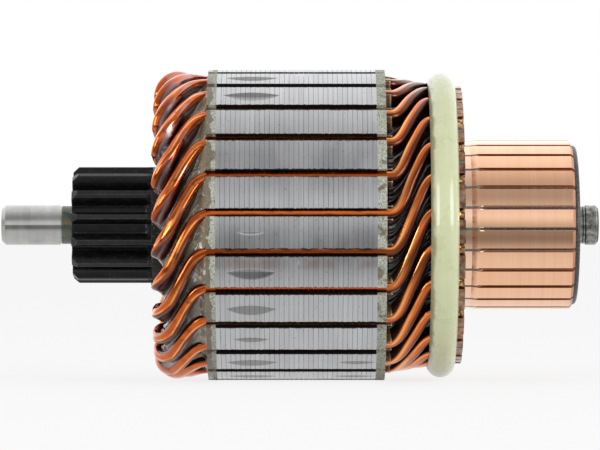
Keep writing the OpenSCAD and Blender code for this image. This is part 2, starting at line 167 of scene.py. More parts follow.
def put(tree, socket, value):
    """Links a socket to another, or sets its value."""
    if isinstance(value, bpy.types.NodeSocket):
        tree.links.new(value, socket)
    else:
        socket.default_value = value


def add_node(tree, kind, *inputs, **settings):
    """A new node with its settings and its first inputs."""
    made = tree.nodes.new(kind)
    for key, value in settings.items():
        setattr(made, key, value)
    for socket, value in zip(made.inputs, inputs):
        put(tree, socket, value)
    return made


def add_ramp(tree, value, stops):
    """A colour ramp. Its stops are pairs of a place from 0 to 1 and a colour."""
    made = add_node(tree, "ShaderNodeValToRGB", value)
    while len(made.color_ramp.elements) < len(stops):
        made.color_ramp.elements.new(0.5)
    for element, (place, colour) in zip(made.color_ramp.elements, stops):
        element.position = place
        element.color = colour
    return made.outputs[0]


def add_mix(tree, factor, a, b):
    """A mix of two colours."""
    made = add_node(tree, "ShaderNodeMix", data_type="RGBA")
    for place, value in ((0, factor), (6, a), (7, b)):
        put(tree, made.inputs[place], value)
    return made.outputs[2]


# ---- materials ----

WRAP_R = 20.0


class Shader:
    """A material's node tree, with short calls for the nodes that are used here."""

    def __init__(self, name, **constants):
        self.material = bpy.data.materials.new(name)
        self.material.use_nodes = True
        self.tree = self.material.node_tree
        self.surface = self.tree.nodes["Principled BSDF"]
        for socket, value in constants.items():
            self.surface.inputs[socket.replace("_", " ")].default_value = value
        self.point = self.node("ShaderNodeTexCoord").outputs["Object"]
        parts = self.node("ShaderNodeSeparateXYZ", self.point)
        self.x = parts.outputs[0]
        front = self.times(parts.outputs[1], -1)
        down = self.times(parts.outputs[2], -1)
        squares = self.plus(self.times(front, front), self.times(down, down))
        self.radius = self.math("SQRT", squares)
        self.angle = self.math("ARCTAN2", down, front)
        self.outward = self.node("ShaderNodeVectorMath", self.vector(0, parts.outputs[1], parts.outputs[2]),
                                 operation="NORMALIZE").outputs[0]

    def node(self, kind, *inputs, **settings):
        return add_node(self.tree, kind, *inputs, **settings)

    def put(self, socket, value):
        put(self.tree, socket, value)

    def set(self, socket, value):
        self.put(self.surface.inputs[socket], value)

    def math(self, operation, a, b=0.0, clamp=False):
        return self.node("ShaderNodeMath", a, b, operation=operation, use_clamp=clamp).outputs[0]

    def times(self, a, b):
        return self.math("MULTIPLY", a, b)

    def plus(self, a, b):
        return self.math("ADD", a, b)

    def minus(self, a, b):
        return self.math("SUBTRACT", a, b)

    def larger(self, a, b):
        return self.math("MAXIMUM", a, b)

    def distance(self, a, b):
        return self.math("ABSOLUTE", self.minus(a, b))

    def unwrapped(self):
        """The texture coordinates, and their first number, which runs across the piece."""
        uv = self.node("ShaderNodeTexCoord").outputs["UV"]
        return uv, self.node("ShaderNodeSeparateXYZ", uv).outputs[0]

    def vector(self, x, y, z):
        return self.node("ShaderNodeCombineXYZ", x, y, z).outputs[0]

    def scaled(self, vector, by):
        return self.node("ShaderNodeVectorMath", vector, by, operation="MULTIPLY").outputs[0]

    def span(self, value, low, high, a=0.0, b=1.0):
        """value from low to high as a to b, with soft ends."""
        return self.node("ShaderNodeMapRange", value, low, high, a, b,
                         interpolation_type="SMOOTHSTEP").outputs[0]

    def noise(self, vector, scale=1.0, detail=2.0, roughness=0.5, distortion=0.0):
        made = self.node("ShaderNodeTexNoise")
        for socket, value in (("Vector", vector), ("Scale", scale), ("Detail", detail),
                              ("Roughness", roughness), ("Distortion", distortion)):
            self.put(made.inputs[socket], value)
        return made.outputs[0]

    def solid_noise(self, frequency, **settings):
        """Noise in space, alike in all directions. The frequency is per metre."""
        return self.noise(self.scaled(self.point, (frequency, frequency, frequency)), **settings)

    def hashed(self, vector):
        return self.node("ShaderNodeTexWhiteNoise", vector, noise_dimensions="3D").outputs[0]

    def mix(self, factor, a, b):
        return add_mix(self.tree, factor, a, b)

    def ramp(self, value, *stops):
        return add_ramp(self.tree, value, stops)

    def bump(self, height, depth):
        """depth is in millimetres for a height of 1."""
        made = self.node("ShaderNodeBump")
        made.inputs["Strength"].default_value = 1.0
        made.inputs["Distance"].default_value = depth * MM
        self.put(made.inputs["Height"], height)
        return made.outputs[0]

    def edge(self, radius):
        """1 on sharp edges, 0 on flats. radius is in millimetres."""
        rounded = self.node("ShaderNodeBevel", radius * MM, samples=4).outputs[0]
        plain = self.node("ShaderNodeNewGeometry").outputs["Normal"]
        agree = self.node("ShaderNodeVectorMath", rounded, plain, operation="DOT_PRODUCT").outputs["Value"]
        return self.span(agree, 0.995, 0.86)

    def facing_out(self):
        """1 where the surface faces straight out from the shaft axis."""
        plain = self.node("ShaderNodeNewGeometry").outputs["Normal"]
        return self.node("ShaderNodeVectorMath", plain, self.outward,
                         operation="DOT_PRODUCT").outputs["Value"]

    def wrap(self, along, round_):
        """Coordinates on the shaft: per metre along it, and per metre round it at a radius of WRAP_R."""
        return self.vector(self.times(self.x, along), self.times(self.angle, round_ * WRAP_R * MM), 0.0)


def steel_material():
    s = Shader("ground_steel", Metallic=1.0)
    lines = s.noise(s.wrap(9000, 40), detail=3)
    bands = s.noise(s.wrap(520, 8), detail=1)
    cloud = s.solid_noise(300, detail=3)
    grey = s.ramp(s.plus(s.times(bands, 0.35), s.times(cloud, 0.65)), (0.3, rgb(0.39, 0.39, 0.38)),
                  (0.5, rgb(0.47, 0.47, 0.455)), (0.7, rgb(0.55, 0.55, 0.53)))
    # the witness line of the grinding wheel
    witness = s.span(s.distance(s.x, WITNESS_X * MM), 0.10 * MM, 0.03 * MM)
    grey = s.mix(s.times(witness, s.span(cloud, 0.35, 0.6)), grey, rgb(0.20, 0.20, 0.19))
    # heat tint and rust specks on the neck beside the gear
    neck = s.times(s.span(s.x, (JOURNAL_X + 0.1) * MM, (JOURNAL_X + 0.45) * MM),
                   s.span(s.x, (GEAR_X0 + 0.3) * MM, (GEAR_X0 + 0.2) * MM))
    tint = s.ramp(s.noise(s.wrap(500, 90), detail=3), (0.3, rgb(0.05, 0.075, 0.08)),
                  (0.5, rgb(0.13, 0.17, 0.15)), (0.66, rgb(0.20, 0.15, 0.09)))
    colour = s.mix(neck, grey, tint)
    specks = s.span(s.solid_noise(2600, detail=2), 0.60, 0.66)
    colour = s.mix(s.times(specks, s.plus(s.times(neck, 0.7), 0.07)), colour, rgb(0.16, 0.07, 0.035))
    # the tail is duller and mottled
    tail = s.span(s.x, TAIL_X * MM, (TAIL_X + 0.3) * MM)
    mottle = s.ramp(s.solid_noise(1100, detail=4), (0.33, rgb(0.11, 0.11, 0.10)),
                    (0.5, rgb(0.27, 0.27, 0.25)), (0.68, rgb(0.42, 0.42, 0.40)))
    colour = s.mix(tail, colour, mottle)
    # painted shade: the tail's groove is darkened almost to black
    groove_shade = s.times(tail, s.span(s.radius, (TAIL_GROOVE_R + 0.1) * MM, TAIL_GROOVE_R * MM))
    colour = s.mix(s.times(groove_shade, 0.9), colour, rgb(0.012, 0.012, 0.012))
    s.set("Base Color", colour)
    rough = s.plus(s.span(cloud, 0.3, 0.7, 0.14, 0.22), s.times(neck, 0.22))
    s.set("Roughness", s.math("ADD", rough, s.times(tail, 0.18), True))
    s.set("Normal", s.bump(lines, 0.006))
    return s.material


def gear_material():
    s = Shader("black_oxide", Metallic=0.35)
    grain = s.noise(s.scaled(s.point, (500, 1400, 1400)), detail=4)
    base = s.ramp(grain, (0.3, rgb(0.006, 0.0065, 0.008)), (0.55, rgb(0.011, 0.011, 0.012)),
                  (0.75, rgb(0.020, 0.018, 0.017)))
    brown = s.span(s.noise(s.scaled(s.point, (3400, 2600, 2600)), detail=3), 0.62, 0.72)
    base = s.mix(s.times(brown, 0.4), base, rgb(0.09, 0.05, 0.03))
    # lighter tooth edges: partly rubbed wear, partly painted highlight
    worn_and_highlit_edge = s.times(s.edge(0.16), s.span(grain, 0.25, 0.6, 0.35, 1.0))
    base = s.mix(s.times(worn_and_highlit_edge, 0.75), base, rgb(0.20, 0.19, 0.18))
    collar = s.span(s.x, (COLLAR_X0 - 0.1) * MM, (COLLAR_X0 + 0.2) * MM)
    dust = s.span(s.solid_noise(3000, detail=3), 0.56, 0.72)
    base = s.mix(s.times(s.times(dust, collar), 0.55), base, rgb(0.26, 0.24, 0.20))
    s.set("Base Color", base)
    s.set("Roughness", s.plus(s.span(grain, 0.3, 0.7, 0.20, 0.28), s.times(collar, 0.22)))
    s.set("Normal", s.bump(grain, 0.004))
    return s.material


def core_material():
    s = Shader("laminated_steel", Metallic=1.0)
    sheet = s.math("FLOOR", s.math("DIVIDE", s.minus(s.x, CORE_X0 * MM), LAMINATION_PITCH * MM))
    turn = s.math("DIVIDE", s.plus(s.minus(s.angle, math.radians(SLOT_PHASE)), 2 * math.pi),
                  math.radians(PITCH))
    tooth = s.math("FLOOR", turn)
    tone = s.hashed(s.vector(sheet, tooth, 0.0))
    bar = s.hashed(s.vector(7.0, tooth, 3.0))
    fine = s.noise(s.wrap(5200, 120), detail=3)
    cloud = s.noise(s.wrap(160, 130), detail=3)
    value = s.plus(s.times(tone, 0.10), s.times(fine, 0.50))
    value = s.plus(value, s.times(cloud, 0.30))
    value = s.plus(value, s.times(bar, 0.10))
    ground = s.ramp(value, (0.30, rgb(0.42, 0.425, 0.435)), (0.5, rgb(0.515, 0.52, 0.53)),
                    (0.70, rgb(0.60, 0.605, 0.615)))
    # the varnish between two sheets shows as a dark hairline
    within = s.math("FRACT", s.math("DIVIDE", s.minus(s.x, CORE_X0 * MM), LAMINATION_PITCH * MM))
    line = s.span(s.distance(within, 0.475), 0.38, 0.47)
    broken = s.span(s.noise(s.wrap(60, 900), detail=3), 0.38, 0.66)
    strength = s.times(broken, s.span(s.hashed(s.vector(sheet, 4.0, 9.0)), 0.35, 1.0, 0.05, 0.5))
    ground = s.mix(s.times(line, strength), ground, rgb(0.16, 0.155, 0.15))
    # the balancing cuts are duller than the turned face
    dull = s.span(s.radius, (CORE_R - 0.02) * MM, (CORE_R - 0.07) * MM)
    ground = s.mix(s.times(dull, 0.75), ground, rgb(0.22, 0.22, 0.21))
    # a dark, ragged band along each slot opening
    from_slot = s.times(s.minus(s.math("FRACT", s.plus(turn, 0.5)), 0.5), PITCH)
    ragged = s.times(s.noise(s.wrap(1500, 900), detail=2), 1.1)
    slot_edge_dark = s.span(s.minus(s.math("ABSOLUTE", from_slot), ragged), 1.10, 0.95)
    ground = s.mix(s.times(slot_edge_dark, 0.85), ground, rgb(0.045, 0.035, 0.03))
    # a reddish streak along one tooth
    beside = s.distance(s.angle, math.radians(STREAK_ANGLE))
    streak = s.times(s.span(beside, math.radians(2.4), math.radians(0.6)),
                     s.span(s.noise(s.wrap(300, 300), detail=3), 0.38, 0.62))
    ground = s.mix(s.times(streak, 0.35), ground, rgb(0.36, 0.17, 0.10))
    rust = s.span(s.solid_noise(1800, detail=3), 0.64, 0.72)
    ground = s.mix(s.times(rust, 0.35), ground, rgb(0.20, 0.11, 0.06))
    # inside the slots the sheets are dark
    outside = s.times(s.span(s.facing_out(), 0.72, 0.90),
                      s.span(s.radius, (CORE_R - 0.8) * MM, (CORE_R - 0.6) * MM))
    s.set("Base Color", s.mix(outside, rgb(0.035, 0.030, 0.027), ground))
    s.set("Roughness", s.mix(outside, rgb(0.6, 0.6, 0.6), s.span(cloud, 0.3, 0.7, 0.26, 0.38)))
    height = s.plus(s.times(fine, 0.5), s.times(line, -0.8))
    s.set("Normal", s.bump(height, 0.012))
    return s.material


def insulator_material():
    s = Shader("speckled_board", Metallic=0.0)
    grain = s.noise(s.scaled(s.point, (4200, 2600, 2600)), detail=4, roughness=0.7)
    base = s.ramp(grain, (0.34, rgb(0.07, 0.07, 0.055)), (0.47, rgb(0.33, 0.34, 0.28)),
                  (0.58, rgb(0.46, 0.48, 0.40)), (0.70, rgb(0.62, 0.63, 0.56)))
    # varnish that has run onto the board
    run = s.solid_noise(330, detail=3)
    reach = s.span(s.x, (INSULATOR_X0 + 1.5) * MM, (INSULATOR_X0 + 0.3) * MM, 0.0, 0.34)
    wet = s.span(s.plus(run, reach), 0.58, 0.68)
    base = s.mix(s.times(wet, 0.8), base, rgb(0.115, 0.085, 0.052))
    s.set("Base Color", base)
    s.set("Roughness", s.span(wet, 0, 1, 0.6, 0.16))
    s.set("Normal", s.bump(grain, 0.03))
    return s.material


def liner_material():
    s = Shader("liner_film", Metallic=0.0, Coat_Weight=0.5, Coat_Roughness=0.12)
    grain = s.solid_noise(2400, detail=3)
    film = s.ramp(grain, (0.35, rgb(0.10, 0.045, 0.02)), (0.6, rgb(0.27, 0.14, 0.055)))
    left = s.span(s.x, (LINER_X0 + 0.35) * MM, (LINER_X0 + 0.05) * MM)
    right = s.span(s.x, (LINER_X1 - 0.42) * MM, (LINER_X1 - 0.12) * MM)
    tip = s.times(s.larger(left, right), s.span(grain, 0.38, 0.55, 0.45, 1.0))
    s.set("Base Color", s.mix(s.times(tip, 0.85), film, rgb(0.68, 0.56, 0.33)))
    s.set("Roughness", s.span(grain, 0.3, 0.7, 0.25, 0.5))
    s.set("Normal", s.bump(grain, 0.03))
    return s.material


def enamel_material():
    s = Shader("enamelled_copper", Metallic=0.95, Coat_Weight=0.5, Coat_Roughness=0.05, Coat_IOR=1.45)
    uv, across = s.unwrapped()
    along = s.noise(s.scaled(uv, (4, 260, 1)), detail=2)
    cloud = s.solid_noise(420, detail=3)
    value = s.plus(s.times(along, 0.35), s.times(cloud, 0.65))
    base = s.ramp(value, (0.30, rgb(0.36, 0.045, 0.002)), (0.46, rgb(0.54, 0.090, 0.003)),
                  (0.60, rgb(0.64, 0.120, 0.005)), (0.75, rgb(0.74, 0.16, 0.010)))
    # the commutator end is paler
    far = s.span(s.x, CORE_X0 * MM, LINER_X1 * MM)
    base = s.mix(s.times(far, 0.6), base, rgb(0.68, 0.135, 0.009))
    # painted shade darkens the flanks, over their varnish: the lower flank's shade starts early at the
    # commutator end and low down, and late at the top. The drive-end patches are dark with varnish.
    near = s.span(s.x, (CORE_X0 - 1.0) * MM, (LINER_X0 - 2.0) * MM)
    up = s.node("ShaderNodeSeparateXYZ", s.point).outputs[2]
    shade_by_height = s.span(up, -22 * MM, 22 * MM, 0.16, -0.28)
    early = s.plus(s.times(far, 0.27), s.times(near, shade_by_height))
    lower_flank_shade = s.span(s.plus(across, early), 0.84, 1.0)
    flank_shade_and_slot_resin = s.larger(lower_flank_shade, s.span(across, 0.16, 0.03))
    # resin fills the slots beside it
    slot = s.times(s.span(s.x, (CORE_X0 - 0.8) * MM, (CORE_X0 + 0.6) * MM),
                   s.span(s.x, (CORE_X1 + 0.8) * MM, (CORE_X1 - 0.6) * MM))
    ragged = s.plus(across, s.times(s.minus(cloud, 0.5), 0.5))
    filled = s.larger(s.span(ragged, 0.52, 0.72), s.span(ragged, 0.38, 0.22))
    flank_shade_and_slot_resin = s.larger(flank_shade_and_slot_resin, s.times(slot, filled))
    patch = s.span(s.solid_noise(560, detail=3), 0.58, 0.70)
    drive = s.span(s.x, (CORE_X0 + 1.0) * MM, CORE_X0 * MM)
    shade_and_varnish = s.larger(s.times(flank_shade_and_slot_resin, 0.9), s.times(patch, s.plus(s.times(drive, 0.35), 0.15)))
    # painted highlight: a paler line follows the upper edge at the commutator end and the lower edge at the
    # drive end
    line = s.noise(s.scaled(uv, (2, 150, 1)), detail=1)
    upper_highlight = s.times(far, s.span(s.distance(across, 0.25), 0.10, 0.02))
    lower_highlight = s.times(near, s.span(s.distance(across, 0.66), 0.12, 0.02))
    painted_highlight = s.times(s.larger(upper_highlight, lower_highlight), s.span(line, 0.34, 0.50))
    # painted highlight on the bend past the commutator-end slots
    bend_highlight = s.times(s.span(s.x, (LINER_X1 - 1.0) * MM, (LINER_X1 + 0.6) * MM),
                   s.span(s.x, (LINER_X1 + 5.5) * MM, (LINER_X1 + 2.5) * MM))
    bend_highlight = s.times(bend_highlight, s.span(s.distance(across, 0.30), 0.20, 0.04))
    painted_highlight = s.larger(painted_highlight, bend_highlight)
    base = s.mix(s.times(painted_highlight, 0.85), base, rgb(1.0, 0.44, 0.15))
    # painted shade on the flanks and dark varnish, in one colour
    colour = s.mix(shade_and_varnish, base, rgb(0.045, 0.016, 0.015))
    # painted reflection: a milky lilac haze on the varnished flank at the drive end
    cloudy = s.noise(s.scaled(uv, (2.2, 170, 1)), detail=2)
    painted_flank_reflection = s.times(s.span(across, 0.84, 0.96), s.span(across, 1.75, 1.35))
    painted_flank_reflection = s.times(s.times(s.span(cloudy, 0.44, 0.62), near), painted_flank_reflection)
    colour = s.mix(s.times(painted_flank_reflection, 0.6), colour, rgb(0.36, 0.28, 0.30))
    # golden-brown resin over the ends in the risers
    seated = s.span(s.x, (RISER_X0 - 0.4) * MM, (RISER_X0 + 0.1) * MM)
    ends = s.ramp(s.solid_noise(1900, detail=3), (0.36, rgb(0.05, 0.018, 0.008)),
                  (0.52, rgb(0.26, 0.11, 0.035)), (0.68, rgb(0.62, 0.36, 0.14)))
    s.set("Base Color", s.mix(seated, colour, ends))
    s.set("Roughness", s.plus(s.span(cloud, 0.3, 0.7, 0.09, 0.15), s.times(flank_shade_and_slot_resin, 0.2)))
    height = s.plus(s.times(along, 0.3), s.times(cloud, 0.7))
    s.set("Normal", s.bump(height, 0.02))
    s.set("Coat Normal", s.bump(height, 0.04))
    return s.material


def resin_material():
    s = Shader("brown_resin", Metallic=0.0, Coat_Weight=1.0, Coat_Roughness=0.03, Coat_IOR=1.5)
    uv, across = s.unwrapped()
    big = s.solid_noise(300, detail=2, distortion=0.4)
    small = s.solid_noise(1100, detail=2)
    grain = s.noise(s.scaled(uv, (7, 190, 1)), detail=2)
    base = s.ramp(s.plus(s.times(big, 0.6), s.times(grain, 0.4)), (0.34, rgb(0.020, 0.010, 0.008)),
                  (0.46, rgb(0.055, 0.034, 0.022)), (0.58, rgb(0.115, 0.082, 0.055)),
                  (0.70, rgb(0.20, 0.16, 0.115)))
    # a pale strand of varnish runs beside each wire
    strand = s.span(s.distance(across, s.span(big, 0.3, 0.7, 0.50, 0.66)), 0.12, 0.03)
    base = s.mix(s.times(strand, 0.7), base, rgb(0.23, 0.18, 0.12))
    # painted shade: dark under the wire above it
    base = s.mix(s.span(across, 0.30, 0.10), base, rgb(0.018, 0.009, 0.008))
    # it is paler where it runs out over the board
    edge = s.span(s.x, (INSULATOR_X0 - 4.8) * MM, (INSULATOR_X0 - 1.4) * MM)
    base = s.mix(s.times(edge, 0.8), base, rgb(0.32, 0.26, 0.175))
    # painted glints: milky pale lines where it has pulled into webs
    web = s.solid_noise(420, detail=1, distortion=1.2)
    painted_glint_web = s.times(s.span(s.distance(web, 0.5), 0.035, 0.012), s.span(big, 0.44, 0.56))
    base = s.mix(s.times(painted_glint_web, s.span(edge, 0.0, 1.0, 0.25, 0.75)), base, rgb(0.62, 0.59, 0.56))
    glint = s.span(s.solid_noise(520, detail=1, distortion=0.5), 0.63, 0.67)
    base = s.mix(s.times(glint, s.times(edge, 0.8)), base, rgb(0.86, 0.85, 0.84))
    s.set("Base Color", base)
    s.set("Roughness", s.span(small, 0.35, 0.65, 0.08, 0.22))
    height = s.plus(s.times(big, 0.8), s.times(small, 0.2))
    s.set("Normal", s.bump(height, 0.25))
    s.set("Coat Normal", s.bump(height, 0.70))
    return s.material


def sheet_material():
    s = Shader("varnished_sheet", Metallic=0.0, Coat_Weight=1.0, Coat_Roughness=0.05, Coat_IOR=1.6)
    big = s.solid_noise(420, detail=3)
    red = s.span(s.solid_noise(700, detail=2), 0.58, 0.68)
    base = s.ramp(big, (0.35, rgb(0.008, 0.006, 0.006)), (0.62, rgb(0.030, 0.018, 0.015)))
    base = s.mix(s.times(red, 0.6), base, rgb(0.13, 0.022, 0.010))
    # painted highlight: a thin pale line beside each wire stands in for glints on the glossy varnish
    uv, across = s.unwrapped()
    line = s.distance(across, s.span(big, 0.3, 0.7, 0.29, 0.39))
    line = s.times(s.span(line, 0.09, 0.02),
                   s.span(s.noise(s.scaled(uv, (3, 170, 1)), detail=2), 0.42, 0.60))
    s.set("Base Color", s.mix(s.times(line, 0.8), base, rgb(0.62, 0.58, 0.58)))
    s.set("Roughness", s.span(big, 0.3, 0.7, 0.12, 0.30))
    s.set("Coat Normal", s.bump(big, 0.3))
    return s.material


def band_material():
    s = Shader("band_resin", Metallic=0.0, Coat_Weight=0.55, Coat_Roughness=0.10, Coat_IOR=1.5,
               Subsurface_Weight=0.25, Subsurface_Scale=0.0012)
    s.surface.inputs["Subsurface Radius"].default_value = (1.0, 0.9, 0.55)
    glass = s.noise(s.wrap(2600, 70), detail=3)
    cloud = s.solid_noise(260, detail=4)
    value = s.plus(s.times(glass, 0.35), s.times(cloud, 0.65))
    base = s.ramp(value, (0.30, rgb(0.58, 0.61, 0.37)), (0.48, rgb(0.60, 0.635, 0.39)),
                  (0.64, rgb(0.63, 0.66, 0.43)), (0.80, rgb(0.67, 0.69, 0.48)))
    speck = s.span(s.solid_noise(2400, detail=2), 0.64, 0.70)
    base = s.mix(s.times(speck, 0.05), base, rgb(0.25, 0.20, 0.10))
    # painted shade: darker olive along the band's left edge, where the wires go under it
    inner = s.plus(s.x, s.times(s.minus(cloud, 0.5), 2.0 * MM))
    painted_edge_shade = s.span(inner, (BAND_X - 1.7) * MM, (BAND_X - 2.4) * MM)
    base = s.mix(s.times(painted_edge_shade, 0.6), base, rgb(0.16, 0.13, 0.07))
    s.set("Base Color", base)
    s.set("Roughness", s.span(cloud, 0.3, 0.7, 0.22, 0.38))
    height = s.plus(s.times(glass, 0.25), s.times(cloud, 0.75))
    s.set("Normal", s.bump(height, 0.025))
    return s.material


def bar_material():
    s = Shader("turned_copper", Metallic=1.0, Coat_Weight=0.8, Coat_Roughness=0.12, Coat_IOR=1.7)
    lines = s.noise(s.wrap(6500, 12), detail=3)
    bands = s.noise(s.wrap(700, 3), detail=2)
    turn = s.math("DIVIDE", s.plus(s.minus(s.angle, math.radians(SLOT_PHASE - PITCH / 2)), 2 * math.pi),
                  math.radians(PITCH))
    tone = s.hashed(s.vector(s.math("FLOOR", turn), 5.0, 1.0))
    value = s.plus(s.times(lines, 0.40), s.times(bands, 0.35))
    value = s.plus(value, s.times(tone, 0.25))
    track = s.ramp(value, (0.25, rgb(0.88, 0.44, 0.24)), (0.5, rgb(0.96, 0.55, 0.33)),
                   (0.75, rgb(1.0, 0.69, 0.46)))
    # the turned neck is paler
    neck = s.span(s.x, (NECK_X1 - 0.4) * MM, (NECK_X1 + 0.3) * MM, 1.0, 0.0)
    track = s.mix(s.times(neck, 0.35), track, rgb(0.97, 0.80, 0.64))
    # the risers are brown with heat
    cloud = s.solid_noise(900, detail=4)
    scorched = s.ramp(cloud, (0.32, rgb(0.07, 0.030, 0.017)), (0.5, rgb(0.30, 0.13, 0.06)),
                      (0.7, rgb(0.52, 0.27, 0.12)))
    riser = s.span(s.x, (RISER_X1 + 0.05) * MM, (RISER_X1 - 0.02) * MM)
    colour = s.mix(riser, track, scorched)
    # in the undercut the sawn walls are darker
    wall = s.times(s.span(s.facing_out(), 0.97, 0.75), s.span(s.x, NECK_X1 * MM, (NECK_X1 + 0.2) * MM))
    colour = s.mix(s.times(wall, 0.8), colour, rgb(0.42, 0.14, 0.05))
    rim = s.times(s.edge(0.07), s.span(s.x, (RISER_X1 + 0.1) * MM, (RISER_X1 + 0.3) * MM))
    colour = s.mix(s.times(rim, 0.45), colour, rgb(0.50, 0.18, 0.06))
    s.set("Base Color", colour)
    rough = s.plus(s.span(lines, 0.3, 0.7, 0.13, 0.20), s.times(riser, 0.25))
    s.set("Roughness", s.plus(rough, s.times(wall, 0.4)))
    s.set("Normal", s.bump(lines, 0.005))
    return s.material


def mica_material():
    s = Shader("mica", Metallic=0.0)
    grain = s.noise(s.scaled(s.point, (3200, 2400, 2400)), detail=4, roughness=0.7)
    base = s.ramp(grain, (0.32, rgb(0.012, 0.011, 0.010)), (0.5, rgb(0.07, 0.06, 0.05)),
                  (0.7, rgb(0.22, 0.20, 0.16)))
    flush = s.span(s.radius, (TRACK_R - 0.5) * MM, (TRACK_R - 0.15) * MM)
    s.set("Base Color", s.mix(s.times(flush, 0.6), base, rgb(0.22, 0.24, 0.22)))
    s.set("Roughness", s.span(grain, 0.3, 0.7, 0.3, 0.6))
    s.set("Normal", s.bump(grain, 0.05))
    return s.material


def moulding_material():
    s = Shader("phenolic", Metallic=0.0)
    grain = s.solid_noise(2600, detail=4, roughness=0.65)
    base = s.ramp(grain, (0.34, rgb(0.016, 0.017, 0.020)), (0.52, rgb(0.045, 0.047, 0.052)),
                  (0.68, rgb(0.14, 0.14, 0.14)))
    s.set("Base Color", base)
    s.set("Roughness", s.span(grain, 0.3, 0.7, 0.30, 0.50))
    s.set("Normal", s.bump(grain, 0.03))
    return s.material


STEEL = steel_material()
GEAR = gear_material()
CORE = core_material()
INSULATOR = insulator_material()
LINER = liner_material()
ENAMEL = enamel_material()
RESIN = resin_material()
SHEET = sheet_material()
BAND = band_material()
BAR = bar_material()
MICA = mica_material()
MOULDING = moulding_material()

LOOKS = {
    "shaft": STEEL,
    "sun_gear": GEAR,
    "core_laminations": CORE,
    "end_insulator_drive": INSULATOR,
    "end_insulator_commutator": INSULATOR,
    "slot_liners": LINER,
    "interlayer_insulation": SHEET,
    "mica_segments": MICA,
    "commutator_moulding": MOULDING,
    "glass_band": BAND,
}
for number in range(1, SLOTS + 1):
    LOOKS[f"hairpin_{number:02d}"] = ENAMEL
    LOOKS[f"commutator_bar_{number:02d}"] = BAR
for name, material in LOOKS.items():
    for place in nodes[name].material_slots:
        place.material = material

# ---- hairpins: the source's path, with more rings, round corners and legs that end before the band ----

riser_bend_x = RISER_X0 - 0.3
end_run = riser_bend_x - LEG_X0
leg_run = LEG_X1 - LEG_X0
end_slope = math.atan((OUTER_R - RISER_OUTER_R) / end_run)
drive_run = LINER_X0 - NOSE_X
quarter = NOSE_R * math.pi / 2
even_run = drive_run - SLOT_BEND / 2 + quarter * (1 + NOSE_SLANT) / 2


def end_ring(s, drop):
    """A ring from riser to slot: x, radius, angle in degrees, then turn and slant in radians."""
    length = leg_run - RISER_BEND / 2 - END_BEND / 2
    r = RISER_OUTER_R - drop + (OUTER_R - RISER_OUTER_R) * s / end_run
    t = s - (end_run - leg_run)
    if t < RISER_BEND:
        done = max(0.0, t) ** 2 / (2 * RISER_BEND)
    elif t > leg_run - END_BEND:
        done = length - (leg_run - t) ** 2 / (2 * END_BEND)
    else:
        done = t - RISER_BEND / 2
    rate = math.radians(LEG) * max(0.0, min(1, t / RISER_BEND, (leg_run - t) / END_BEND)) / length
    turn = -end_slope * smooth(s / 0.8) * smooth((end_run - s) / 0.8)
    return (riser_bend_x - s, r, LEG * done / length - LEG, turn, math.atan(r * rate * math.cos(end_slope)))


def drive_angle(s, side):
    """side is 1 on the outer leg and -1 on the inner leg."""
    early = EARLY_BEND * smooth((s + EARLY_START) / 2.2) * smooth((drive_run + 2 * quarter - s) / 6)
    if s < 0:
        return early
    return early + even_angle(s, side)


def even_angle(s, side):
    """The angle without the early bend: slot bend, straight slant, then the nose."""
    if s < SLOT_BEND:
        done = s * s / (2 * SLOT_BEND)
    elif s < drive_run:
        done = s - SLOT_BEND / 2
    else:
        q = s - drive_run
        done = drive_run - SLOT_BEND / 2 + q - (1 - NOSE_SLANT) * q * q / (2 * quarter)
    return (LEG + side * NOSE_LEAD) / even_run * done


def drive_rate(s, side):
    if s < SLOT_BEND:
        share = max(0.0, s) / SLOT_BEND
    elif s < drive_run:
        share = 1
    else:
        share = 1 - (1 - NOSE_SLANT) * (s - drive_run) / quarter
    return math.radians(LEG + side * NOSE_LEAD) / even_run * share


def drive_ring(s, side):
    slot_r = OUTER_R if side > 0 else INNER_R
    r = slot_r + (NOSE_MID_R + side * NOSE_R - slot_r) * smooth(s / drive_run)
    return (LINER_X0 - s, r, drive_angle(s, side), 0.0, math.atan(r * drive_rate(s, side)))


def nose_ring(turn):
    side = 1 if turn <= math.pi / 2 else -1
    s = drive_run + NOSE_R * min(turn, math.pi - turn)
    r = NOSE_MID_R + NOSE_R * math.cos(turn)
    angle = LEG * (1 - side) + side * drive_angle(s, side)
    return (NOSE_X - NOSE_R * math.sin(turn), r, angle, turn, math.atan(r * drive_rate(s, side)))


def mirrored(ring):
    return (ring[0], ring[1], 2 * LEG - ring[2], math.pi - ring[3], ring[4])


def hairpin_rings():
    outer = [(RISER_X1 - END_INSET, RISER_OUTER_R, -LEG, 0.0, 0.0)]
    outer += [end_ring(s, 0) for s in np.linspace(0, end_run, 26)]
    outer += [(x, OUTER_R, 0.0, 0.0, 0.0) for x in (60.0, 45.0)]
    outer += [drive_ring(s, 1) for s in np.linspace(-EARLY_START, drive_run, 18)]
    inner = [(RISER_X1 - END_INSET, RISER_OUTER_R - LAYER_PITCH, -LEG, 0.0, 0.0)]
    inner += [end_ring(s, LAYER_PITCH) for s in np.linspace(0, end_run, 14)]
    inner += [(52.0, INNER_R, 0.0, 0.0, 0.0)]
    inner += [drive_ring(s, -1) for s in np.linspace(-EARLY_START, drive_run, 11)]
    nose = [nose_ring(t) for t in np.linspace(0, math.pi, 17)[1:-1]]
    return outer + nose + [mirrored(ring) for ring in reversed(inner)]


def rounded_section():
    """The conductor's section, from the middle of the outward face round to it again."""
    w, h, c = CONDUCTOR_W / 2, CONDUCTOR_H / 2, CONDUCTOR_ROUND
    section = []
    for sx, sy, start in ((1, 1, 90), (1, -1, 0), (-1, -1, -90), (-1, 1, 180)):
        for step in range(5):
            a = math.radians(start - 90 * step / 4)
            section.append((sx * (w - c) + c * math.cos(a), sy * (h - c) + c * math.sin(a)))
    return section


